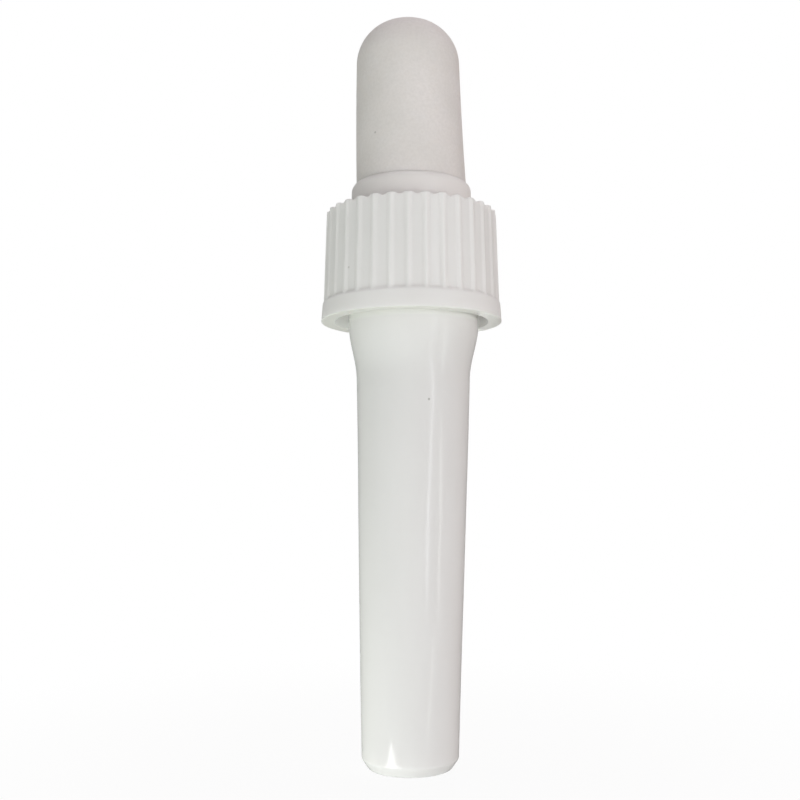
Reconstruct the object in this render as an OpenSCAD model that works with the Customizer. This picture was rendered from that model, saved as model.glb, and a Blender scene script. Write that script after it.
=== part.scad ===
// Dropper pipette with a rubber teat and a ribbed screw cap, stored in its cover tube.
// Upright, +Z up. The origin is the centre of the cover tube's flat foot. Millimetres.

/* [Cover tube] */
// Height of the cover tube, from its foot to its rim
tube_h = 61; // [48:0.5:80]
// Outer diameter just above the bevel of the foot
tube_low_d = 11.2; // [9.4:0.1:13]
// Thickness of the tube's wall
tube_wall = 1.1; // [0.8:0.05:1.3]
// Thickness of the closed floor
floor_t = 1.4; // [0.8:0.1:3]
// Width of the bevel round the foot
foot_bevel_w = 0.82; // [0.2:0.02:1.5]
// Height of the bevel round the foot
foot_bevel_h = 1.15; // [0.3:0.05:2]
// Radius of the corner between the floor and the bore
floor_fillet = 1.2; // [0.3:0.1:2]
// Outer diameter of the straight neck inside the cap
neck_d = 15.2; // [12.6:0.1:18.4]
// Length of the straight neck
neck_h = 9.7; // [8:0.1:12]
// Length of the flare below the neck
flare_h = 7; // [4:0.1:9]
// Step in radius that the flare makes
flare_step = 0.88; // [0.3:0.02:1.2]
// Bevel on the outer and inner edges of the rim
rim_bevel = 0.25; // [0.1:0.05:0.35]

/* [Cap] */
// Radial room for the screw thread between the neck and the cap's bore
thread_room = 1.5; // [1.2:0.05:2]
// Height of the skirt, from its lower edge up to the cap's top face
cap_h = 13.1; // [12:0.1:16]
// Thickness of the cap's top wall
cap_top_t = 1.4; // [0.8:0.1:2]
// Thickness of the skirt from the bore to the tips of the ribs, at the flange
skirt_t = 1.38; // [1.2:0.02:2]
// How much the radius at the ribs' tips shrinks from the flange to the top
skirt_draft = 0.32; // [0:0.02:0.5]
// Rounding of the skirt's top edge
shoulder_round = 0.15; // [0.05:0.05:0.6]
// Bevel at the mouth of the bore
mouth_bevel = 0.2; // [0.05:0.05:0.4]

/* [Ribs and flange] */
// Number of ribs round the skirt
rib_count = 30; // [18:1:36]
// Depth of the hollow flutes between the ribs
flute_depth = 0.36; // [0.15:0.01:0.5]
// Share of the pitch that a flute takes at the ribs' tips
flute_share = 0.84; // [0.5:0.01:0.92]
// Height of the plain flange at the skirt's foot
flange_h = 2.1; // [1:0.1:3]
// How far the flange stands out from the ribs' tips
flange_lip = 0.09; // [0:0.01:1]
// How much the flange's radius shrinks from its lower to its upper edge
flange_draft = 0.15; // [0:0.01:0.3]

/* [Collar] */
// Height of the collar above the cap's top face
collar_h = 3.55; // [2:0.05:5]
// Wall of the collar round the teat
collar_t = 0.5; // [0.4:0.05:0.9]
// Rounding of the collar's outer top edge
collar_round = 0.9; // [0.5:0.05:1.2]
// Radial clearance between the collar and the teat
teat_clear = 0.08; // [0.02:0.01:0.1]

/* [Teat] */
// Outer diameter of the teat inside the collar
teat_base_d = 13.2; // [11:0.1:15.9]
// Outer diameter where the dome starts
teat_dome_d = 12.5; // [10.6:0.1:14.2]
// Straight length of the teat, from the collar's lip to the start of the dome
teat_len = 15.05; // [8:0.05:30]
// Radius of the dome's sides
dome_side_r = 5.3; // [4:0.1:5.3]
// Radius of the dome's crown
dome_crown_r = 7.5; // [6.8:0.1:12]
// Thickness of the rubber
teat_wall = 1.35; // [0.8:0.05:1.8]
// Thickness of the teat's flange
teat_flange_t = 1.2; // [0.8:0.1:2]
// Radial gap between the teat's flange and the cap's bore
teat_flange_gap = 0.6; // [0.3:0.05:0.9]

/* [Pipette] */
// Thickness of the flange that rests on the cover tube's rim
seat_t = 1; // [0.8:0.1:1.6]
// How far the pipette's flange is smaller in radius than the teat's
seat_inset = 0.6; // [0.1:0.05:0.9]
// Length of the plug in the teat's mouth
plug_h = 5.5; // [3:0.1:8]
// Outer diameter of the barrel under the flange
barrel_top_d = 7.4; // [5.8:0.1:8]
// Outer diameter of the barrel above the tip
barrel_low_d = 6.6; // [5:0.1:7.2]
// Wall of the plug and the barrel
barrel_wall = 0.9; // [0.7:0.05:1.2]
// Length of the cone between the plug and the barrel
throat_h = 2.2; // [1.5:0.1:4]
// Length of the tapered tip
taper_h = 13; // [6:0.5:20]
// Length of the thin straight nozzle
nozzle_h = 2.6; // [1:0.1:6]
// Outer diameter of the nozzle
nozzle_d = 2.5; // [1.9:0.1:3.4]
// Diameter of the hole in the nozzle
nozzle_bore = 1; // [0.5:0.1:1.2]
// Gap between the nozzle and the cover tube's floor
tip_gap = 5.7; // [1:0.1:12]

/* [Hidden] */

$fn = 96;
arc_steps = 10;
overshoot = 1;

// Radii of the cover tube
neck_r = neck_d / 2;
tube_low_r = tube_low_d / 2;
tube_top_r = neck_r - flare_step;

// Heights of the stack: tube rim, pipette flange, teat flange, cap ceiling, cap top
neck_z = tube_h - neck_h;
flare_z = neck_z - flare_h;
seat_z = tube_h + seat_t;
ceiling_z = seat_z + teat_flange_t;
cap_top_z = ceiling_z + cap_top_t;
skirt_z = cap_top_z - cap_h;
flange_top_z = skirt_z + flange_h;
rib_root_z = flange_top_z - flange_h / 2;
collar_z = cap_top_z + collar_h;
dome_z = collar_z + teat_len;

// Radii of the cap
bore_r = neck_r + thread_room;
rib_low_r = bore_r + skirt_t;
rib_top_r = rib_low_r - skirt_draft;
flange_top_r = rib_low_r + flange_lip;
flange_low_r = flange_top_r + flange_draft;

// Radii of the teat and of the hole that it passes through
teat_base_r = teat_base_d / 2;
teat_dome_r = teat_dome_d / 2;
collar_bore_r = teat_base_r + teat_clear;
collar_r = collar_bore_r + collar_t;
teat_bore_r = teat_base_r - teat_wall;
teat_flange_r = bore_r - teat_flange_gap;

// Radii and heights of the pipette
seat_r = teat_flange_r - seat_inset;
plug_bore_r = teat_bore_r - barrel_wall;
barrel_top_r = barrel_top_d / 2;
barrel_low_r = barrel_low_d / 2;
nozzle_r = nozzle_d / 2;
nozzle_z = floor_t + tip_gap;
taper_z = nozzle_z + nozzle_h;
barrel_z = taper_z + taper_h;
throat_z = tube_h - throat_h;

// Flutes: the cutting cylinder's radius follows from the flute's width and depth
flute_w = flute_share * 2 * rib_low_r * sin(180 / rib_count);
flute_r = (flute_w * flute_w / 4 + flute_depth * flute_depth) / (2 * flute_depth);
skirt_rise = cap_top_z - flange_top_z;
skirt_tilt = atan(skirt_draft / skirt_rise);

// Points along an arc in the radius-height plane, from angle a to angle b. With skip = 1
// the first point is left out, where another arc already ends there.
function arc(r, z, radius, a, b, steps = arc_steps, skip = 0) =
    [for (i = [skip : steps])
        let (t = a + (b - a) * i / steps)
        [r + radius * cos(t), z + radius * sin(t)]];

// The tube's flare: a smooth S from the body's radius to the neck's, drawn in by `inset`
function flare(inset) =
    [for (i = [0 : 2 * arc_steps])
        let (t = i / (2 * arc_steps))
        [tube_top_r + flare_step * (1 - cos(180 * t)) / 2 - inset, flare_z + flare_h * t]];

// Radius of the tube's outer wall at height z below the flare
function tube_r(z) =
    tube_low_r + (tube_top_r - tube_low_r) * (z - foot_bevel_h) / (flare_z - foot_bevel_h);

// A teat-shaped dome from its spring line to the axis: side arcs that run into a flatter crown
function dome(inset) =
    let (side = dome_side_r - inset)
    let (crown = dome_crown_r - inset)
    let (side_centre = teat_dome_r - dome_side_r)
    let (drop = sqrt(pow(crown - side, 2) - side_centre * side_centre))
    let (meet = atan2(drop, side_centre))
    concat(
        arc(side_centre, dome_z, side, 0, meet, 2 * arc_steps),
        arc(0, dome_z - drop, crown, meet, 90, 2 * arc_steps, skip = 1));

// The same points in the opposite order
function reversed(points) = [for (i = [len(points) - 1 : -1 : 0]) points[i]];

// Closed foot, tapered wall, flare and straight neck, hollow to a filleted floor
module cover_tube() {
    bore_low_r = tube_r(floor_t) - tube_wall;
    color("white")
    rotate_extrude()
    polygon(concat(
        [[0, 0], [tube_low_r - foot_bevel_w, 0], [tube_low_r, foot_bevel_h]],
        flare(0),
        [[neck_r, tube_h - rim_bevel], [neck_r - rim_bevel, tube_h]],
        [[neck_r - tube_wall + rim_bevel, tube_h], [neck_r - tube_wall, tube_h - rim_bevel]],
        reversed(flare(tube_wall)),
        reversed(arc(bore_low_r - floor_fillet, floor_t + floor_fillet, floor_fillet, -90, 0)),
        [[0, floor_t]]));
}

// Plug, seat flange, throat, barrel and drawn-in tip, bored through
module pipette() {
    color("whitesmoke", 0.8)
    rotate_extrude()
    difference() {
        polygon([
            [0, nozzle_z],
            [nozzle_r, nozzle_z],
            [nozzle_r, taper_z],
            [barrel_low_r, barrel_z],
            [barrel_top_r, throat_z],
            [teat_bore_r, tube_h],
            [seat_r, tube_h],
            [seat_r, seat_z],
            [teat_bore_r, seat_z],
            [teat_bore_r, seat_z + plug_h - barrel_wall / 2],
            [teat_bore_r - barrel_wall / 2, seat_z + plug_h],
            [0, seat_z + plug_h]]);
        polygon([
            [0, nozzle_z - overshoot],
            [nozzle_bore / 2, nozzle_z - overshoot],
            [nozzle_bore / 2, taper_z],
            [barrel_low_r - barrel_wall, barrel_z],
            [barrel_top_r - barrel_wall, throat_z],
            [plug_bore_r, tube_h],
            [plug_bore_r, seat_z + plug_h + overshoot],
            [0, seat_z + plug_h + overshoot]]);
    }
}

// Hollow rubber teat with a flat flange at its open end
module teat() {
    color("antiquewhite")
    rotate_extrude()
    polygon(concat(
        [[teat_bore_r, seat_z], [teat_flange_r, seat_z], [teat_flange_r, ceiling_z]],
        [[teat_base_r, ceiling_z], [teat_base_r, collar_z]],
        dome(0),
        reversed(dome(teat_wall)),
        [[teat_bore_r, collar_z]]));
}

// What a rounding of this radius takes off an outer top corner at radius r and height z
module corner_waste(r, z, radius) {
    translate([r - radius, z - radius])
    difference() {
        square(radius + overshoot);
        circle(radius);
    }
}

// Half section of the cap without its flutes: skirt, top wall and collar
module cap_section() {
    difference() {
        polygon([
            [bore_r, rib_root_z],
            [rib_low_r, rib_root_z],
            [rib_low_r, flange_top_z],
            [rib_top_r, cap_top_z - shoulder_round],
            [rib_top_r, cap_top_z],
            [bore_r, cap_top_z],
            [bore_r, ceiling_z]]);
        corner_waste(rib_top_r, cap_top_z, shoulder_round);
    }
    difference() {
        polygon([
            [collar_bore_r, ceiling_z],
            [bore_r, ceiling_z],
            [bore_r, cap_top_z],
            [collar_r, cap_top_z],
            [collar_r, collar_z],
            [collar_bore_r, collar_z]]);
        corner_waste(collar_r, collar_z, collar_round);
    }
}

// The hollow flutes that leave the ribs standing, leaning in with the skirt's draft
module flutes() {
    for (i = [0 : rib_count - 1])
        rotate(i * 360 / rib_count)
        translate([rib_low_r - flute_depth + flute_r, 0, flange_top_z])
        rotate([0, -skirt_tilt, 0])
        translate([0, 0, rib_root_z - flange_top_z - overshoot])
        cylinder(r = flute_r, h = cap_top_z - rib_root_z + 2 * overshoot);
}

// Plain flange round the skirt's foot, with a bevel at the mouth of the bore
module cap_flange() {
    rotate_extrude()
    polygon([
        [bore_r + mouth_bevel, skirt_z],
        [flange_low_r, skirt_z],
        [flange_top_r, flange_top_z],
        [bore_r, flange_top_z],
        [bore_r, skirt_z + mouth_bevel]]);
}

// Fluted screw cap with a flange at its foot and a collar for the teat
module cap() {
    color("white") {
        difference() {
            rotate_extrude() cap_section();
            flutes();
        }
        cap_flange();
    }
}

cover_tube();
pipette();
teat();
cap();
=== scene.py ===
"""Looks of the dropper pipette in its cover tube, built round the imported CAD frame.

Sizes are in millimetres, as in the CAD source, and become metres where a mesh or a texture is
made. The camera, the floor and the lights are placed in metres.
Outlines are half sections of (radius, height) points: up the outside and down the inside.
"""

import math

import bpy
import numpy as np
from mathutils import Matrix, Vector


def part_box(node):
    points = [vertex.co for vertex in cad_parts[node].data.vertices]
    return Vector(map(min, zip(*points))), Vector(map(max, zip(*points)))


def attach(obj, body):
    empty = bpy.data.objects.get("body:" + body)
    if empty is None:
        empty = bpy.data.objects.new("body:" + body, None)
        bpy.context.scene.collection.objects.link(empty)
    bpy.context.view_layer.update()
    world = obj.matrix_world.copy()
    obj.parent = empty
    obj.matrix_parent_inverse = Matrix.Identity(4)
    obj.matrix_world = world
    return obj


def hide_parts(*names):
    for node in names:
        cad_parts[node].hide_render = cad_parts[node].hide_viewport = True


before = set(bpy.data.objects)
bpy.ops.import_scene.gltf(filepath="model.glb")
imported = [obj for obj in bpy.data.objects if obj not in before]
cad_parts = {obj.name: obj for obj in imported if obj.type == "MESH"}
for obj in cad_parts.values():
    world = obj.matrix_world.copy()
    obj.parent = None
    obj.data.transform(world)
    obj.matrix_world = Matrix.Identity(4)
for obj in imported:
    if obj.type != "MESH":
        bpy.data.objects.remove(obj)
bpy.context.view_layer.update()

MM = 0.001
TURN = 2 * math.pi


def bottom(node):
    """Lowest height of a CAD node, in millimetres."""
    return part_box(node)[0].z / MM


def top(node):
    """Highest point of a CAD node, in millimetres."""
    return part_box(node)[1].z / MM


def reach(node):
    """Largest radius of a CAD node, in millimetres."""
    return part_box(node)[1].x / MM


# ---- Sizes: the boxes of the CAD nodes first, then what the CAD source names ----

RIM_Z = top("cover_tube")
NECK_R = reach("cover_tube")
SEAT_Z = bottom("teat")
CROWN_Z = top("teat")
SKIRT_Z = bottom("cap")
FLANGE_LOW_R = reach("cap")
NOZZLE_Z = bottom("pipette")
PLUG_Z = top("pipette")
SEAT_R = reach("pipette")
TEAT_FLANGE_R = reach("teat")

TUBE_LOW_R = 5.6
TUBE_WALL = 1.1
TUBE_FLOOR = 1.4
FOOT_BEVEL_W = 0.82
FOOT_BEVEL_H = 1.15
FLOOR_FILLET = 1.2
FOOT_ROUND = 0.35
BEVEL_ROUND = 0.6
TUBE_RIM_ROUND = 0.25
NECK_H = 9.7
FLARE_H = 7.0
FLARE_STEP = 0.88
NECK_Z = RIM_Z - NECK_H
FLARE_Z = NECK_Z - FLARE_H
TUBE_TOP_R = NECK_R - FLARE_STEP

CAP_H = 13.1
CAP_TOP_T = 1.4
FLANGE_H = 2.1
FLANGE_DRAFT = 0.15
FLANGE_LIP = 0.09
SKIRT_DRAFT = 0.32
COLLAR_H = 3.55
COLLAR_T = 0.5
COLLAR_ROUND = 0.9
MOUTH_ROUND = 0.06
FLANGE_LOW_ROUND = 0.04
FLANGE_TOP_ROUND = 0.05
RIB_ROOT_ROUND = 0.03
SHOULDER_ROUND = 0.12
COLLAR_ROOT_ROUND = 0.15
CAP_HOLE_ROUND = 0.15
CEILING_ROUND = 0.4
TEAT_CLEAR = 0.08
THREAD_ROOM = 1.5
CAP_TOP_Z = SKIRT_Z + CAP_H
CEILING_Z = CAP_TOP_Z - CAP_TOP_T
FLANGE_TOP_Z = SKIRT_Z + FLANGE_H
COLLAR_Z = CAP_TOP_Z + COLLAR_H
BORE_R = NECK_R + THREAD_ROOM
FLANGE_TOP_R = FLANGE_LOW_R - FLANGE_DRAFT
RIB_LOW_R = FLANGE_TOP_R - FLANGE_LIP
RIB_TOP_R = RIB_LOW_R - SKIRT_DRAFT

TEAT_BASE_R = 6.6
TEAT_DOME_R = 6.25
TEAT_WALL = 1.35
DOME_SIDE_R = 5.3
DOME_CROWN_R = 7.5
TEAT_LEN = 15.05
TEAT_MOUTH_ROUND = 0.2
TEAT_FLANGE_ROUND = 0.3
TEAT_ROOT_ROUND = 0.2
TEAT_BEND_ROUND = 8
DOME_Z = COLLAR_Z + TEAT_LEN
COLLAR_BORE_R = TEAT_BASE_R + TEAT_CLEAR
COLLAR_R = COLLAR_BORE_R + COLLAR_T

BARREL_TOP_R = 3.7
BARREL_LOW_R = 3.3
BARREL_WALL = 0.9
THROAT_H = 2.2
TAPER_H = 13.0
NOZZLE_H = 2.6
NOZZLE_R = 1.25
NOZZLE_BORE_R = 0.5
NOZZLE_ROUND = 0.15
NOZZLE_BORE_ROUND = 0.1
TAPER_ROUND = 0.8
BARREL_ROUND = 12
BARREL_BORE_ROUND = 8
THROAT_ROUND = 0.6
THROAT_BORE_ROUND = 0.8
SEAT_ROUND = 0.15
PLUG_ROUND = 0.4
PLUG_BORE_ROUND = 0.25


# ---- Sizes of what only the looks have ----

# Faces round each piece, and the least angle in degrees of a sharp edge
TUBE_FACES = 256
PIPETTE_FACES = 96
TEAT_FACES = 192
FACES_PER_RIB = 16
CREASE = 50

# How an outline is cut up: a stretch longer than LONG gets a point near each end and some between
LONG = 1.2
END_STEP = 0.06
COARSE_STEP = 0.6
THREAD_STEP = 0.13
RIB_END_STEP = 0.07

# Least radius of a ring; an end point nearer the axis is a pole
ON_AXIS = 1e-6

# The tube's uneven wall: lobes round it, depth, twist for each millimetre of height, and phase.
# The neck is calmer by a share, and the foot slimmer.
WALL_WAVES = ((2, 0.030, 0.09, 0.5), (3, 0.022, -0.17, 1.1), (5, 0.010, 0.31, 2.0))
NECK_CALM = 0.8
FOOT_SLIM = 0.06

# The tube's faint swelling under the cap: where it starts, is full, begins to fade and ends
SWELL = 0.11
SWELL_Z = (46.0, 50.5, 52.5, 54.0)

# The tube's lean for each millimetre above a height, and the teat's whole lean
TUBE_LEAN = 0.0094
TUBE_LEAN_Z = 22
TEAT_LEAN = 0.42

# Ribs round the skirt, low and rounded, each over a share of its pitch. They are as many as in the
# photograph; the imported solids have 30. At the shoulder they end in teeth.
RIB_COUNT = 32
RIB_DEPTH = 0.18
RIB_SHARE = 0.55
RIB_RUN_OUT = 0.40
RIB_FADE_R = (9.1, 9.6)
TOOTH_DROP = 0.27
TOOTH_H = 1.2
TOOTH_SLOPE = 0.65

# The screw thread's pitch, length and ridge, where its middle starts on the neck, and the cap's own
PITCH = 3.0
THREAD_TURNS = 1.25
THREAD_ROOT = 1.5
THREAD_CREST = 0.7
THREAD_RUN_IN = 0.12
NECK_THREAD_Z = 55.4
NECK_THREAD_H = 1.1
CAP_THREAD_DROP = 1.0
CAP_THREAD_H = 0.9

# How far from a threaded wall a point still belongs to it, and how softly that ends
NEAR_WALL = 0.1
NEAR_NECK = 0.3
NEAR_BORE_EDGE = 0.05
NEAR_NECK_EDGE = 0.1

# Degrees by which the collar's round stops short of its bore
LIP_SHORT = 6


# ---- Outlines ----

def arc(centre_r, centre_z, radius, start, end, steps):
    """Points along an arc, with angles in degrees from the radius direction."""
    angles = [math.radians(start + (end - start) * i / steps) for i in range(steps + 1)]
    return [(centre_r + radius * math.cos(t), centre_z + radius * math.sin(t)) for t in angles]


def fillet(before, here, after, radius, steps=5):
    """The corner at here as an arc of this radius, tangent to the stretches on both sides."""
    back = (before - here).normalized()
    onward = (after - here).normalized()
    half = back.angle(onward) / 2
    centre = here + (back + onward).normalized() * radius / math.sin(half)
    spoke = here + back * radius / math.tan(half) - centre
    sweep = (math.pi - 2 * half) * (1 if back.cross(onward) < 0 else -1)
    turned = [spoke.copy() for _ in range(steps + 1)]
    for i, point in enumerate(turned):
        point.rotate(Matrix.Rotation(sweep * i / steps, 2))
    return [centre + point for point in turned]


def rounded(corners, closed=True):
    """The outline through corners (radius, height) or (radius, height, fillet)."""
    points = []
    for i, corner in enumerate(corners):
        here = Vector(corner[:2])
        if len(corner) == 2:
            points.append(here)
            continue
        before = Vector(corners[i - 1][:2])
        after = Vector(corners[(i + 1) % len(corners)][:2])
        points += fillet(before, here, after, corner[2])
    return divided(points, closed)


def divided(points, closed):
    """The outline with its long stretches cut up, finely where a thread may be or a rib ends."""
    result = []
    ends = points[1:] + points[:1] if closed else points[1:]
    for start, end in zip(points, ends):
        result.append(start)
        length = (end - start).length
        if length < LONG:
            continue
        walked = END_STEP
        while walked < length - END_STEP:
            spot = start.lerp(end, walked / length)
            result.append(spot)
            between = NECK_R - NEAR_WALL < spot.x < BORE_R + NEAR_WALL
            threaded = between and NECK_Z < spot.y < RIM_Z
            rib_end = spot.x > RIB_TOP_R and FLANGE_TOP_Z < spot.y < FLANGE_TOP_Z + RIB_RUN_OUT
            walked += RIB_END_STEP if rib_end else THREAD_STEP if threaded else COARSE_STEP
        result.append(end.lerp(start, END_STEP / length))
    if not closed:
        result.append(points[-1])
    return result


def smooth_step(value):
    """0 below 0, 1 above 1 and a smooth rise between them."""
    t = np.clip(value, 0, 1)
    return t * t * (3 - 2 * t)


def thread_ridge(z, angle, start_z):
    """Share of a right-hand thread's height at each height and angle."""
    share = np.zeros_like(z)
    for lap in range(math.ceil(THREAD_TURNS)):
        turns = angle / TURN + lap
        off_middle = np.abs(z - start_z - PITCH * turns)
        ridge = (THREAD_ROOT / 2 - off_middle) / ((THREAD_ROOT - THREAD_CREST) / 2)
        run_in = smooth_step(turns / THREAD_RUN_IN)
        run_out = smooth_step((THREAD_TURNS - turns) / THREAD_RUN_IN)
        share = np.maximum(share, np.clip(ridge, 0, 1) * (run_in * run_out))
    return share


def lathe(name, outline, segments, reshape=None, bend=None):
    """Spins an outline round Z. End points on the axis become poles, and reshape(r, z, angle)
    and bend(x, y, z) may change the rings and the finished points."""
    points = [tuple(p) for p in outline]
    poles = [p for p in (points[0], points[-1]) if p[0] < ON_AXIS]
    rings = np.array([p for p in points if p[0] >= ON_AXIS])
    angle, r = np.meshgrid(np.arange(segments) * TURN / segments, rings[:, 0])
    z = np.repeat(rings[:, 1:2], segments, axis=1)
    if reshape:
        r, z = reshape(r, z, angle)
    places = np.stack([r * np.cos(angle), r * np.sin(angle), z], axis=-1).reshape(-1, 3)
    places = np.vstack([places] + [[0, 0, p[1]] for p in poles])
    if bend:
        places = bend(places)
    here = np.arange(segments)
    following = (here + 1) % segments
    rows = len(rings)
    pairs = [(i, i + 1) for i in range(rows - 1)]
    if not poles:
        pairs.append((rows - 1, 0))
    faces = []
    for low, high in pairs:
        low, high = low * segments, high * segments
        faces += np.stack([low + here, low + following, high + following, high + here], 1).tolist()
    if poles:
        first_pole = rows * segments
        last = (rows - 1) * segments
        faces += [[first_pole, int(b), int(a)] for a, b in zip(here, following)]
        faces += [[last + int(a), last + int(b), first_pole + 1] for a, b in zip(here, following)]
    mesh = bpy.data.meshes.new(name)
    mesh.from_pydata((places * MM).tolist(), [], faces)
    mesh.polygons.foreach_set("use_smooth", [True] * len(mesh.polygons))
    mesh.set_sharp_from_angle(angle=math.radians(CREASE))
    mesh.update()
    piece = bpy.data.objects.new(name, mesh)
    bpy.context.scene.collection.objects.link(piece)
    return piece


# ---- Pieces ----

def tube_radius(z):
    """Outer radius of the tube's tapered wall below the flare."""
    share = (z - FOOT_BEVEL_H) / (FLARE_Z - FOOT_BEVEL_H)
    return TUBE_LOW_R + (TUBE_TOP_R - TUBE_LOW_R) * share


def flare(inset):
    """The S curve from the tapered wall up to the neck, drawn in by inset."""
    steps = 20
    shares = [i / steps for i in range(steps + 1)]
    return [
        (TUBE_TOP_R + FLARE_STEP * (1 - math.cos(math.pi * t)) / 2 - inset, FLARE_Z + FLARE_H * t)
        for t in shares]


def cover_tube_outline():
    """From the middle of the foot, up the outside and down the bore to the floor."""
    bore_low_r = tube_radius(TUBE_FLOOR) - TUBE_WALL
    floor_corner = arc(
        bore_low_r - FLOOR_FILLET, TUBE_FLOOR + FLOOR_FILLET, FLOOR_FILLET, 0, -90, steps=8)
    return rounded([
        (0, 0), (TUBE_LOW_R - FOOT_BEVEL_W, 0, FOOT_ROUND),
        (TUBE_LOW_R, FOOT_BEVEL_H, BEVEL_ROUND),
        *flare(0),
        (NECK_R, RIM_Z, TUBE_RIM_ROUND), (NECK_R - TUBE_WALL, RIM_Z, TUBE_RIM_ROUND),
        *reversed(flare(TUBE_WALL)),
        *floor_corner, (0, TUBE_FLOOR)], closed=False)


def tube_shape(r, z, angle):
    """Makes the moulded wall a little uneven, slimmer near the foot and fuller under the cap, and
    raises the thread."""
    wave = sum(
        depth * np.sin(lobes * angle + twist * z + phase)
        for lobes, depth, twist, phase in WALL_WAVES)
    wave *= 1 - NECK_CALM * smooth_step((z - FLARE_Z) / FLARE_H)
    wave -= FOOT_SLIM * smooth_step((FLARE_Z - z) / FLARE_Z)
    low, full, last, end = SWELL_Z
    wave += SWELL * smooth_step((z - low) / (full - low)) * smooth_step((end - z) / (end - last))
    r = r * (1 + wave / NECK_R)
    outside = smooth_step((r - NECK_R + NEAR_NECK) / NEAR_NECK_EDGE)
    return r + NECK_THREAD_H * outside * thread_ridge(z, angle, NECK_THREAD_Z), z


def tube_lean(places):
    """The tube's wall runs a little aslant, from one side at the foot to the other at the neck."""
    places[:, 0] += TUBE_LEAN * (np.minimum(places[:, 2], NECK_Z) - TUBE_LEAN_Z)
    return places


def pipette_outline():
    """Plug, seat flange, throat, barrel and tip outside, then the bore."""
    taper_z = NOZZLE_Z + NOZZLE_H
    barrel_z = taper_z + TAPER_H
    teat_bore_r = TEAT_BASE_R - TEAT_WALL
    plug_bore_r = teat_bore_r - BARREL_WALL
    return rounded([
        (NOZZLE_R, NOZZLE_Z, NOZZLE_ROUND), (NOZZLE_R, taper_z, TAPER_ROUND),
        (BARREL_LOW_R, barrel_z, BARREL_ROUND), (BARREL_TOP_R, RIM_Z - THROAT_H, THROAT_ROUND),
        (teat_bore_r, RIM_Z, SEAT_ROUND), (SEAT_R, RIM_Z, SEAT_ROUND),
        (SEAT_R, SEAT_Z, SEAT_ROUND), (teat_bore_r, SEAT_Z, SEAT_ROUND),
        (teat_bore_r, PLUG_Z, PLUG_ROUND), (plug_bore_r, PLUG_Z, PLUG_BORE_ROUND),
        (plug_bore_r, RIM_Z, THROAT_BORE_ROUND),
        (BARREL_TOP_R - BARREL_WALL, RIM_Z - THROAT_H, THROAT_ROUND),
        (BARREL_LOW_R - BARREL_WALL, barrel_z, BARREL_BORE_ROUND),
        (NOZZLE_BORE_R, taper_z, TAPER_ROUND), (NOZZLE_BORE_R, NOZZLE_Z, NOZZLE_BORE_ROUND)])


def dome(inset):
    """The teat's rounded end, from its spring line to the axis, drawn in by inset."""
    side = DOME_SIDE_R - inset
    crown = DOME_CROWN_R - inset
    side_centre = TEAT_DOME_R - DOME_SIDE_R
    drop = math.sqrt((crown - side) ** 2 - side_centre ** 2)
    meet = math.degrees(math.atan2(drop, side_centre))
    return [
        *arc(side_centre, DOME_Z, side, 0, meet, steps=20),
        *arc(0, DOME_Z - drop, crown, meet, 90, steps=16)[1:]]


def teat_outline():
    """From the inside of the dome down the bore, round the flange and up the outside."""
    bore_r = TEAT_BASE_R - TEAT_WALL
    return rounded([
        *reversed(dome(TEAT_WALL)), (bore_r, COLLAR_Z), (bore_r, SEAT_Z, TEAT_MOUTH_ROUND),
        (TEAT_FLANGE_R, SEAT_Z, TEAT_FLANGE_ROUND),
        (TEAT_FLANGE_R, CEILING_Z, TEAT_FLANGE_ROUND),
        (TEAT_BASE_R, CEILING_Z, TEAT_ROOT_ROUND), (TEAT_BASE_R, COLLAR_Z, TEAT_BEND_ROUND),
        *dome(0)], closed=False)


def teat_lean(places):
    """The soft rubber leans a little to one side above the collar."""
    rise = np.clip((places[:, 2] - COLLAR_Z) / (CROWN_Z - COLLAR_Z), 0, 1)
    places[:, 0] -= TEAT_LEAN * rise * (2 - rise)
    return places


def cap_outline():
    """Flange, skirt, shoulder and collar outside, then the collar's and the skirt's bores."""
    lip_angle = math.degrees(math.acos((COLLAR_BORE_R - COLLAR_R + COLLAR_ROUND) / COLLAR_ROUND))
    lip = arc(
        COLLAR_R - COLLAR_ROUND, COLLAR_Z - COLLAR_ROUND, COLLAR_ROUND,
        0, lip_angle - LIP_SHORT, steps=8)
    return rounded([
        (BORE_R, SKIRT_Z, MOUTH_ROUND), (FLANGE_LOW_R, SKIRT_Z, FLANGE_LOW_ROUND),
        (FLANGE_TOP_R, FLANGE_TOP_Z, FLANGE_TOP_ROUND), (RIB_LOW_R, FLANGE_TOP_Z, RIB_ROOT_ROUND),
        (RIB_TOP_R, CAP_TOP_Z, SHOULDER_ROUND), (COLLAR_R, CAP_TOP_Z, COLLAR_ROOT_ROUND),
        *lip,
        (COLLAR_BORE_R, COLLAR_Z - COLLAR_ROUND), (COLLAR_BORE_R, CEILING_Z, CAP_HOLE_ROUND),
        (BORE_R, CEILING_Z, CEILING_ROUND)])


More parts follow.
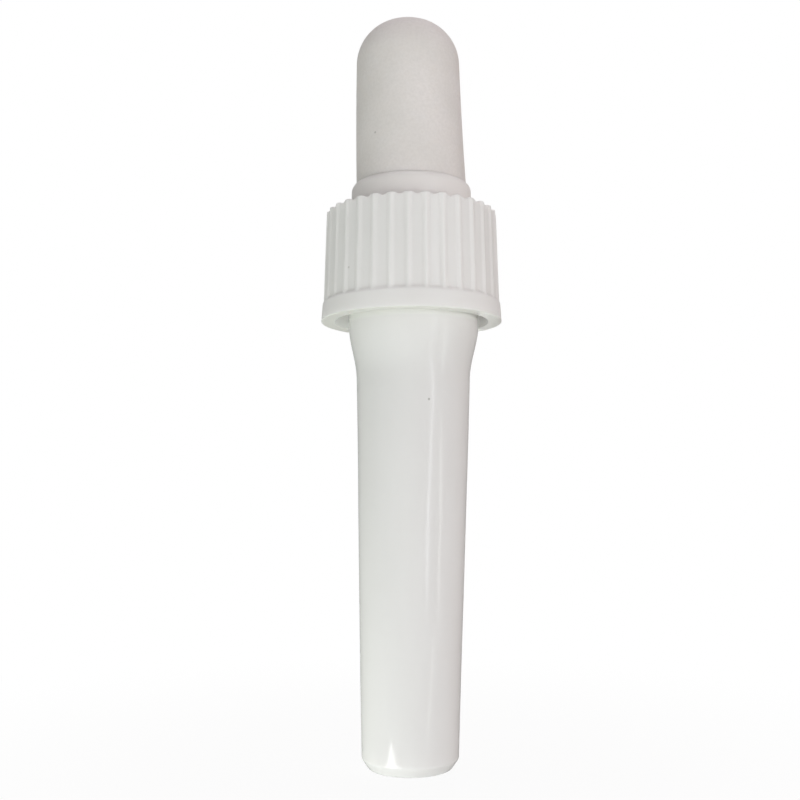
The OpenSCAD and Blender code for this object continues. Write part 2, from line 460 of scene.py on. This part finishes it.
def cap_shape(r, z, angle):
    """Cuts the flutes between the ribs, lowers the shoulder in them so that the ribs end in teeth,
    and raises the thread inside the skirt. Ridge is 0 in a flute and 1 on a rib's crest."""
    turns = RIB_COUNT * (angle / TURN + 0.25)
    off_crest = 2 * np.abs(turns - np.round(turns))
    ridge = smooth_step(1 - off_crest / RIB_SHARE)
    low_r, high_r = RIB_FADE_R
    outer = smooth_step((r - low_r) / (high_r - low_r))
    skirt = smooth_step((z - FLANGE_TOP_Z) / RIB_RUN_OUT) * outer
    notch = 1 - smooth_step((1 - off_crest) / TOOTH_SLOPE)
    drop = TOOTH_DROP * notch * outer * smooth_step((z - CAP_TOP_Z) / TOOTH_H + 1)
    within = smooth_step((BORE_R + NEAR_WALL - r) / NEAR_BORE_EDGE)
    beyond = smooth_step((r - BORE_R + NEAR_WALL) / NEAR_BORE_EDGE)
    inside = within * beyond
    thread = CAP_THREAD_H * inside * thread_ridge(z, angle, NECK_THREAD_Z - CAP_THREAD_DROP)
    return r - RIB_DEPTH * (1 - ridge) * skirt - thread, z - drop


# ---- Materials ----

# How far light travels inside the plastic. It is furthest in the cap's bore, which is lit through
# the skirt's wall.
CAP_GLOW_DEPTH = 0.7
TUBE_GLOW_DEPTH = 1.2
BORE_GLOW_DEPTH = 4.0

# Dark specks: place and radius. The photograph's specks, and the flutes where the painted shade is
# darkest, were traced onto the surface, and the places were then adjusted. A scratch program
# traced the photograph's specks and dirtiest flutes onto the surface, and the places were then
# adjusted by hand.
TEAT_SPECK = ((-3.95, -5.1, 73.1), 0.22)
CAP_SPECK = ((-6.89, -7.70, 56.59), 0.2)
TUBE_SPECK = ((2.17, -6.38, 41.74), 0.18)

# Where the painted shade in the flutes' lower ends is darkest
DARKEST_FLUTES = (-5.0, -9.1, FLANGE_TOP_Z)


def noise(tree, place, per_mm, detail=2.0, distortion=0.0):
    """A noise texture with about per_mm features in a millimetre, as its factor output."""
    node = tree.nodes.new("ShaderNodeTexNoise")
    node.inputs["Scale"].default_value = per_mm / MM
    node.inputs["Detail"].default_value = detail
    node.inputs["Distortion"].default_value = distortion
    tree.links.new(place, node.inputs["Vector"])
    return node.outputs["Fac"]


def stretch(tree, place, scale):
    """Object coordinates scaled along each axis."""
    node = tree.nodes.new("ShaderNodeVectorMath")
    node.operation = "MULTIPLY"
    node.inputs[1].default_value = scale
    tree.links.new(place, node.inputs[0])
    return node.outputs["Vector"]


def ramp(tree, value, start, end, low=0.0, high=1.0):
    """Values from low at start to high at end, and no further."""
    node = tree.nodes.new("ShaderNodeMapRange")
    node.inputs["From Min"].default_value = start
    node.inputs["From Max"].default_value = end
    node.inputs["To Min"].default_value = low
    node.inputs["To Max"].default_value = high
    tree.links.new(value, node.inputs["Value"])
    return node.outputs["Result"]


def mm_ramp(tree, metres, start, end, low=0.0, high=1.0):
    """A ramp over a distance in metres, with its start and end in millimetres."""
    return ramp(tree, metres, start * MM, end * MM, low, high)


def spread(tree, factor, low, high):
    """The middle of a noise, about 0.3 to 0.7, as values from low to high."""
    return ramp(tree, factor, 0.3, 0.7, low, high)


def product(tree, first, *others):
    """Several factors multiplied."""
    for other in others:
        node = tree.nodes.new("ShaderNodeMath")
        node.operation = "MULTIPLY"
        tree.links.new(first, node.inputs[0])
        tree.links.new(other, node.inputs[1])
        first = node.outputs["Value"]
    return first


def distance(tree, place, centre=(0, 0, 0), axes=(1, 1, 1)):
    """Metres from the surface to a centre given in millimetres, along some axes only."""
    node = tree.nodes.new("ShaderNodeVectorMath")
    node.operation = "DISTANCE"
    node.inputs[1].default_value = Vector(centre) * MM
    tree.links.new(stretch(tree, place, axes), node.inputs[0])
    return node.outputs["Value"]


def blended(tree, factor, first, second):
    """Two colours, or a colour socket and a colour, mixed by a factor."""
    node = tree.nodes.new("ShaderNodeMix")
    node.data_type = "RGBA"
    tree.links.new(factor, node.inputs["Factor"])
    for name, value in (("A", first), ("B", second)):
        socket = next(s for s in node.inputs if s.name == name and s.type == "RGBA")
        if isinstance(value, bpy.types.NodeSocket):
            tree.links.new(value, socket)
        else:
            socket.default_value = (*value, 1)
    return next(s for s in node.outputs if s.type == "RGBA")


def bump(tree, heights):
    """A normal from (height factor, depth in mm) pairs, one bump on another."""
    normal = None
    for factor, depth in heights:
        node = tree.nodes.new("ShaderNodeBump")
        node.inputs["Distance"].default_value = depth * MM
        tree.links.new(factor, node.inputs["Height"])
        if normal:
            tree.links.new(normal, node.inputs["Normal"])
        normal = node.outputs["Normal"]
    return normal


def speck(tree, place, centre, size):
    """1 in the middle of a tiny speck round a point in millimetres, and 0 outside its radius."""
    return mm_ramp(tree, distance(tree, place, centre), size, size * 0.3)


def material(name):
    """A new material, with its node tree, its principled shader and its object coordinates."""
    made = bpy.data.materials.new(name + "_finish")
    made.use_nodes = True
    tree = made.node_tree
    place = tree.nodes.new("ShaderNodeTexCoord").outputs["Object"]
    return made, tree, tree.nodes["Principled BSDF"], place


def teat_rubber():
    """Matt off-white rubber, faintly mottled, with one dirty speck."""
    made, tree, shader, place = material("teat_rubber")
    grain = noise(tree, place, 3.0, detail=4)
    cloud = noise(tree, place, 0.16, detail=1)
    colour = blended(tree, spread(tree, cloud, 0, 1), (0.766, 0.725, 0.708), (0.826, 0.778, 0.769))
    colour = blended(tree, spread(tree, grain, 0.0, 0.35), colour, (0.660, 0.618, 0.600))
    colour = blended(tree, speck(tree, place, *TEAT_SPECK), colour, (0.22, 0.20, 0.18))
    tree.links.new(colour, shader.inputs["Base Color"])
    tree.links.new(spread(tree, grain, 0.50, 0.64), shader.inputs["Roughness"])
    normal = bump(tree, [(cloud, 0.03), (grain, 0.006)])
    tree.links.new(normal, shader.inputs["Normal"])
    shader.inputs["Subsurface Weight"].default_value = 0.25
    shader.inputs["Subsurface Radius"].default_value = (1.0, 0.9, 0.8)
    shader.inputs["Subsurface Scale"].default_value = 0.0012
    return made


def white_plastic(name, colours, roughness, wave, smear, glow_depth, marks_and_painted_light):
    """Moulded white plastic: clouded colour, specks, stains and painted light on it, smears in the
    gloss and a wavy skin.
    Light travels about glow_depth millimetres inside it."""
    made, tree, shader, place = material(name)
    flow = noise(tree, stretch(tree, place, (1, 1, 0.35)), 0.12, detail=2, distortion=0.6)
    skin = noise(tree, stretch(tree, place, (1, 1, 0.25)), 0.22, detail=1)
    peel = noise(tree, place, 1.6, detail=2)
    colour = marks_and_painted_light(tree, place, blended(tree, spread(tree, flow, 0, 1), *colours))
    tree.links.new(colour, shader.inputs["Base Color"])
    smears = noise(tree, stretch(tree, place, (1, 1, 0.5)), 0.5, detail=4, distortion=0.8)
    tree.links.new(spread(tree, smears, roughness, roughness + smear), shader.inputs["Roughness"])
    normal = bump(tree, [(skin, wave), (peel, 0.004)])
    tree.links.new(normal, shader.inputs["Normal"])
    shader.inputs["Subsurface Weight"].default_value = 1.0
    shader.inputs["Subsurface Radius"].default_value = (1.0, 1.0, 1.0)
    shader.inputs["Subsurface Scale"].default_value = glow_depth * MM
    return made, tree, shader, place


def in_bore(tree, place):
    """1 on the walls inside the cap's skirt, and 0 on its other faces."""
    edge = 0.05
    radius = distance(tree, place, axes=(1, 1, 0))
    near_axis = mm_ramp(tree, radius, BORE_R + 2 * edge, BORE_R + edge)
    height = distance(tree, place, axes=(0, 0, 1))
    below = mm_ramp(tree, height, CEILING_Z + 2 * edge, CEILING_Z + edge)
    return product(tree, near_axis, below)


def cap_marks_and_painted_light(tree, place, colour):
    """Painted light: paler, yellowish walls in the bore, for light that comes through the skirt's
    wall. Painted shade: a darker, yellowish underside of the flange, and patchy darkening in the
    flutes' lower ends. Also a warmer collar where the rubber has rubbed off on it, and a speck on
    one rib."""
    # Painted light: the walls inside the skirt are painted paler and yellowish.
    colour = blended(tree, in_bore(tree, place), colour, (0.97, 0.97, 0.90))
    height = distance(tree, place, axes=(0, 0, 1))
    # Painted shade: the flange's underside and its lowest edge are painted darker and yellowish.
    under = mm_ramp(tree, height, SKIRT_Z + 0.09, SKIRT_Z + 0.03)
    colour = blended(tree, under, colour, (0.785, 0.775, 0.735))
    rubbed = mm_ramp(tree, height, CAP_TOP_Z + 0.1, CAP_TOP_Z + 0.8)
    colour = blended(tree, rubbed, colour, (0.838, 0.797, 0.785))
    # Painted shade: patchy darkening in the flutes' lower ends, just above the flange, strongest
    # round one place at the front left.
    radius = distance(tree, place, axes=(1, 1, 0))
    flute = mm_ramp(tree, radius, RIB_LOW_R - 0.03, RIB_LOW_R - 0.12)
    over = mm_ramp(tree, height, FLANGE_TOP_Z - 0.05, FLANGE_TOP_Z)
    low = mm_ramp(tree, height, FLANGE_TOP_Z + 0.55, FLANGE_TOP_Z + 0.1)
    patches = spread(tree, noise(tree, place, 0.35, detail=2), -0.2, 0.9)
    darkest_place = mm_ramp(tree, distance(tree, place, DARKEST_FLUTES), 7, 3, 0.25, 0.9)
    flute_end_shade = product(tree, flute, over, low, patches, darkest_place)
    colour = blended(tree, flute_end_shade, colour, (0.50, 0.49, 0.46))
    return blended(tree, speck(tree, place, *CAP_SPECK), colour, (0.45, 0.43, 0.40))


def cap_plastic():
    """White cap plastic with a soft gloss. Light comes through the skirt's wall into its bore."""
    made, tree, shader, place = white_plastic(
        "cap_plastic", ((0.821, 0.803, 0.799), (0.855, 0.836, 0.833)), roughness=0.30, wave=0.03,
        smear=0.10, glow_depth=CAP_GLOW_DEPTH, marks_and_painted_light=cap_marks_and_painted_light)
    depth = ramp(tree, in_bore(tree, place), 0, 1, CAP_GLOW_DEPTH * MM, BORE_GLOW_DEPTH * MM)
    tree.links.new(depth, shader.inputs["Subsurface Scale"])
    return made


def tube_speck_and_painted_light(tree, place, colour):
    """Painted light: a paler neck inside the cap, for light that comes through the skirt's wall.
    Also one small grey speck on the tube's front."""
    height = distance(tree, place, axes=(0, 0, 1))
    # Painted light: the neck from just below the skirt's lower edge upwards is painted paler.
    painted_neck_light = mm_ramp(tree, height, SKIRT_Z - 0.4, SKIRT_Z + 0.2, 0, 0.8)
    colour = blended(tree, painted_neck_light, colour, (0.95, 0.95, 0.91))
    return blended(tree, speck(tree, place, *TUBE_SPECK), colour, (0.48, 0.47, 0.45))


def tube_plastic():
    """White tube plastic with a high gloss."""
    return white_plastic(
        "tube_plastic", ((0.803, 0.784, 0.785), (0.828, 0.809, 0.811)), roughness=0.10, wave=0.10,
        smear=0.06, glow_depth=TUBE_GLOW_DEPTH, marks_and_painted_light=tube_speck_and_painted_light)[0]


def pipette_plastic():
    """Natural, milky see-through plastic."""
    made, tree, shader, place = material("pipette_plastic")
    cloud = noise(tree, stretch(tree, place, (1, 1, 0.3)), 0.25, detail=2)
    peel = noise(tree, place, 1.2, detail=2)
    colour = blended(tree, spread(tree, cloud, 0, 1), (0.78, 0.80, 0.79), (0.84, 0.86, 0.85))
    tree.links.new(colour, shader.inputs["Base Color"])
    tree.links.new(spread(tree, cloud, 0.30, 0.40), shader.inputs["Roughness"])
    tree.links.new(bump(tree, [(peel, 0.004)]), shader.inputs["Normal"])
    shader.inputs["Transmission Weight"].default_value = 0.45
    shader.inputs["IOR"].default_value = 1.49
    return made


# ---- The object ----

def place_piece(piece, body, node, finish):
    """The piece stands for a CAD node, moves with its body and takes its finish."""
    piece.data.materials.append(finish)
    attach(piece, body)
    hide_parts(node)


def build_dropper():
    """The four pieces: cover tube, pipette, teat and cap."""
    tube = lathe("tube_shell", cover_tube_outline(), TUBE_FACES, reshape=tube_shape, bend=tube_lean)
    place_piece(tube, "cover_tube", "cover_tube", tube_plastic())
    pipette = lathe("inner_pipette", pipette_outline(), PIPETTE_FACES)
    place_piece(pipette, "dropper", "pipette", pipette_plastic())
    teat = lathe("rubber_teat", teat_outline(), TEAT_FACES, bend=teat_lean)
    place_piece(teat, "dropper", "teat", teat_rubber())
    cap = lathe("ribbed_cap", cap_outline(), FACES_PER_RIB * RIB_COUNT, reshape=cap_shape)
    place_piece(cap, "cap", "cap", cap_plastic())


# ---- Camera, floor and light, in metres, degrees and watts ----

WHITE = (1, 1, 1)
BLUISH = (0.90, 0.95, 1)
GREENISH = (0.95, 1, 0.94)

# The camera: its turn round the object, then its distance, height, shift to the left and pitch.
# Its lens and sensor are in millimetres. It was fitted to the photograph's rims and outline.
VIEW_TURN = 2.49
CAMERA_AWAY = 0.121
CAMERA_HEIGHT = 0.0306
CAMERA_ASIDE = 0.00136
CAMERA_PITCH = 5.5
LENS = 46.17
SENSOR_W = 36
CLIP_START = 0.005

# Light from the surround: an even part and soft lobes, each with its azimuth from the camera's
# side, elevation, strength and colour. A higher focus makes the lobes narrower.
# Where a lobe or a panel isn't white, its strength and colour come from a least-squares fit to the
# photograph's tones by a scratch program, in part adjusted by hand.
AMBIENT = 0.03
LOBE_FOCUS = 4
LOBES = (
    (-45, -40, 0.475, (0.917, 1, 0.894)),
    (-15, -40, 0.48, (0.941, 1, 0.955)),
    (15, -40, 0.165, (0.863, 1, 0.84)),
    (45, 0, 0.10, (1, 0.882, 0.899)),
    (-110, 0, 0.24, (0.95, 1, 0.86)),
    (110, 0, 0.40, (1, 0.85, 0.76)),
    (0, 90, 1.08, (1, 0.913, 0.937)),
    (-150, 40, 0.45, WHITE),
    (150, 40, 0.45, WHITE),
    (180, -45, 0.45, WHITE),
)

# The floor: its radius, how far under the foot it lies, the radii between which it fades into the
# surround, and its share of the surround's white at each of them
FLOOR_R = 0.9
FLOOR_DROP = 0.00005
FLOOR_FADE = (0.01, 0.09)
FLOOR_GLOW = (0.92, 1.0)

# How far most lights are from the axis, the point that panels face, and a wide panel's size
LIGHT_AWAY = 0.40
MIDDLE_Z = 0.045
MIDDLE = (0, 0, MIDDLE_Z)
WIDE = (0.45, 0.20)

# Panels: name, (azimuth, elevation, distance, height), what they face, size, power and colour
PANELS = (
    ("front_panel", (15, -10, LIGHT_AWAY, MIDDLE_Z), MIDDLE, WIDE, 0.73, (0.988, 0.993, 1)),
    ("left_panel", (-15, -10, LIGHT_AWAY, MIDDLE_Z), MIDDLE, WIDE, 0.12, (0.844, 0.963, 1)),
    ("right_panel", (45, -10, LIGHT_AWAY, MIDDLE_Z), MIDDLE, WIDE, 0.29, (1, 0.956, 0.926)),
    ("low_side", (-85, 0, 0.06, -0.025), (0, 0, 0), (0.08, 0.06), 0.0357, (0.957, 1, 0.942)),
    ("back_panel", (165, 10, LIGHT_AWAY, MIDDLE_Z), MIDDLE, (0.20, 0.20), 0.30, WHITE),
)

# Bars: name, (azimuth, height) of both ends, width, power and colour. Their places, and the card's,
# were traced back from the photograph's highlights by a scratch program and adjusted by hand. Only
# back_bar's place was not traced.
BARS = (
    ("near_bar", (29.5, -0.040), (42, 0.075), 0.020, 0.040, BLUISH),
    ("high_bar", (33.5, 0.085), (32, 0.190), 0.020, 0.110, BLUISH),
    ("flange_bar", (54, 0.110), (54, 0.150), 0.022, 0.040, GREENISH),
    ("far_bar", (61, -0.055), (58, 0.045), 0.022, 0.026, GREENISH),
    ("back_bar", (176, -0.050), (176, 0.100), 0.020, 0.060, WHITE),
    ("foot_bar", (40, -0.118), (51.5, -0.056), 0.022, 0.0155, GREENISH),
)

# The card: which way it lies, how far out that way, across it and down its middle is, and its
# side and power
CARD_AZIMUTH = -45
CARD_OUT = 0.015
CARD_ACROSS = 0.00215
CARD_DOWN = 0.0043
CARD_SIDE = 0.008
CARD_POWER = 0.0012


def from_object(azimuth, elevation, away, height=0.0):
    """A place that far from the axis, azimuth degrees to the right of the camera's side."""
    turn = math.radians(azimuth + VIEW_TURN)
    rise = math.radians(elevation)
    level = away * math.cos(rise)
    return Vector((level * math.sin(turn), -level * math.cos(turn), height + away * math.sin(rise)))


def add_camera():
    """A camera at the photograph's angle: low, close and tilted up a little."""
    turn = math.radians(VIEW_TURN)
    right = Vector((math.cos(turn), math.sin(turn), 0))
    camera = bpy.data.objects.new("camera", bpy.data.cameras.new("camera"))
    camera.data.sensor_width = SENSOR_W
    camera.data.lens = LENS
    camera.data.clip_start = CLIP_START
    camera.location = from_object(0, 0, CAMERA_AWAY, CAMERA_HEIGHT) - right * CAMERA_ASIDE
    camera.rotation_euler = (math.radians(90 + CAMERA_PITCH), 0, turn)
    bpy.context.scene.collection.objects.link(camera)
    bpy.context.scene.camera = camera


def add_floor():
    """A pale round floor that fades into the white surround, with a soft shadow near the foot."""
    corners = 96
    mesh = bpy.data.meshes.new("floor")
    rim = [(FLOOR_R * math.cos(TURN * i / corners), FLOOR_R * math.sin(TURN * i / corners), 0)
           for i in range(corners)]
    mesh.from_pydata(rim, [], [list(range(corners))])
    floor = bpy.data.objects.new("floor", mesh)
    floor.location.z = -FLOOR_DROP
    bpy.context.scene.collection.objects.link(floor)
    made, tree, shader, place = material("floor")
    shader.inputs["Base Color"].default_value = (0.9, 0.9, 0.9, 1)
    shader.inputs["Roughness"].default_value = 0.7
    away = tree.nodes.new("ShaderNodeVectorMath")
    away.operation = "LENGTH"
    tree.links.new(place, away.inputs[0])
    fade = tree.nodes.new("ShaderNodeMapRange")
    fade.interpolation_type = "SMOOTHSTEP"
    fade.inputs["From Min"].default_value, fade.inputs["From Max"].default_value = FLOOR_FADE
    fade.inputs["To Min"].default_value, fade.inputs["To Max"].default_value = FLOOR_GLOW
    tree.links.new(away.outputs["Value"], fade.inputs["Value"])
    glow = tree.nodes.new("ShaderNodeEmission")
    mix = tree.nodes.new("ShaderNodeMixShader")
    tree.links.new(fade.outputs["Result"], mix.inputs["Fac"])
    tree.links.new(shader.outputs["BSDF"], mix.inputs[1])
    tree.links.new(glow.outputs["Emission"], mix.inputs[2])
    tree.links.new(mix.outputs["Shader"], tree.nodes["Material Output"].inputs["Surface"])
    floor.data.materials.append(made)
    floor.visible_diffuse = False
    floor.visible_glossy = False
    floor.visible_shadow = False


def sky_lobe(tree, azimuth, elevation, strength, colour):
    """Soft light from all round one direction, as a background shader's output."""
    facing = tree.nodes.new("ShaderNodeVectorMath")
    facing.operation = "DOT_PRODUCT"
    facing.inputs[1].default_value = from_object(azimuth, elevation, away=1)
    tree.links.new(tree.nodes.new("ShaderNodeTexCoord").outputs["Generated"], facing.inputs[0])
    ahead = tree.nodes.new("ShaderNodeMapRange")
    tree.links.new(facing.outputs["Value"], ahead.inputs["Value"])
    narrowed = tree.nodes.new("ShaderNodeMath")
    narrowed.operation = "POWER"
    narrowed.inputs[1].default_value = LOBE_FOCUS
    tree.links.new(ahead.outputs["Result"], narrowed.inputs[0])
    level = tree.nodes.new("ShaderNodeMath")
    level.operation = "MULTIPLY"
    level.inputs[1].default_value = strength
    tree.links.new(narrowed.outputs[0], level.inputs[0])
    light = tree.nodes.new("ShaderNodeBackground")
    light.inputs["Color"].default_value = (*colour, 1)
    tree.links.new(level.outputs[0], light.inputs["Strength"])
    return light.outputs["Background"]


def add_world():
    """White to the camera. What lights the object is an even grey and a few soft lobes."""
    world = bpy.data.worlds.new("surround")
    bpy.context.scene.world = world
    world.use_nodes = True
    tree = world.node_tree
    seen = tree.nodes["Background"]
    seen.inputs["Color"].default_value = (1, 1, 1, 1)
    even = tree.nodes.new("ShaderNodeBackground")
    even.inputs["Color"].default_value = (1, 1, 1, 1)
    even.inputs["Strength"].default_value = AMBIENT
    light = even.outputs["Background"]
    for lobe in LOBES:
        both = tree.nodes.new("ShaderNodeAddShader")
        tree.links.new(light, both.inputs[0])
        tree.links.new(sky_lobe(tree, *lobe), both.inputs[1])
        light = both.outputs["Shader"]
    path = tree.nodes.new("ShaderNodeLightPath")
    mix = tree.nodes.new("ShaderNodeMixShader")
    tree.links.new(path.outputs["Is Camera Ray"], mix.inputs["Fac"])
    tree.links.new(light, mix.inputs[1])
    tree.links.new(seen.outputs["Background"], mix.inputs[2])
    tree.links.new(mix.outputs["Shader"], tree.nodes["World Output"].inputs["Surface"])


def add_light(name, place, aim, size, power, colour, upward=(0, 0, 1)):
    """A rectangular soft light that faces a point, with its second side along upward. Power is in
    watts."""
    data = bpy.data.lights.new(name, "AREA")
    data.shape = "RECTANGLE"
    data.size, data.size_y = size
    data.energy = power
    data.color = colour
    lamp = bpy.data.objects.new(name, data)
    away = (place - Vector(aim)).normalized()
    across = Vector(upward).cross(away).normalized()
    lamp.matrix_world = Matrix.Translation(place) @ Matrix(
        (across, away.cross(across), away)).transposed().to_4x4()
    lamp.visible_camera = False
    bpy.context.scene.collection.objects.link(lamp)
    return lamp


def add_bar(name, low, high, width, power, colour):
    """A straight bar of light between two (azimuth, height) places."""
    ends = [from_object(azimuth, 0, LIGHT_AWAY, height) for azimuth, height in (low, high)]
    middle = (ends[0] + ends[1]) / 2
    along = ends[1] - ends[0]
    return add_light(name, middle, (0, 0, middle.z), (width, along.length), power, colour, along)


def add_lights():
    """Soft panels round the object, which don't show in its gloss, bars that show only there, and
    a small card whose upper corner shows in the gloss above the foot."""
    for name, place, aim, size, power, colour in PANELS:
        panel = add_light(name, from_object(*place), aim, size, power, colour)
        panel.visible_glossy = False
    for row in BARS:
        bar = add_bar(*row)
        bar.visible_diffuse = False
    out = from_object(CARD_AZIMUTH, 0, 1)
    across = from_object(CARD_AZIMUTH + 90, 0, 1)
    place = out * CARD_OUT + across * CARD_ACROSS - Vector((0, 0, CARD_DOWN))
    card = add_light(
        "card", place, place - out, (CARD_SIDE, CARD_SIDE), CARD_POWER, WHITE,
        upward=across + Vector((0, 0, 1)))
    card.visible_diffuse = False


build_dropper()
add_camera()
add_floor()
add_world()
add_lights()
bpy.context.scene.view_settings.view_transform = "Standard"
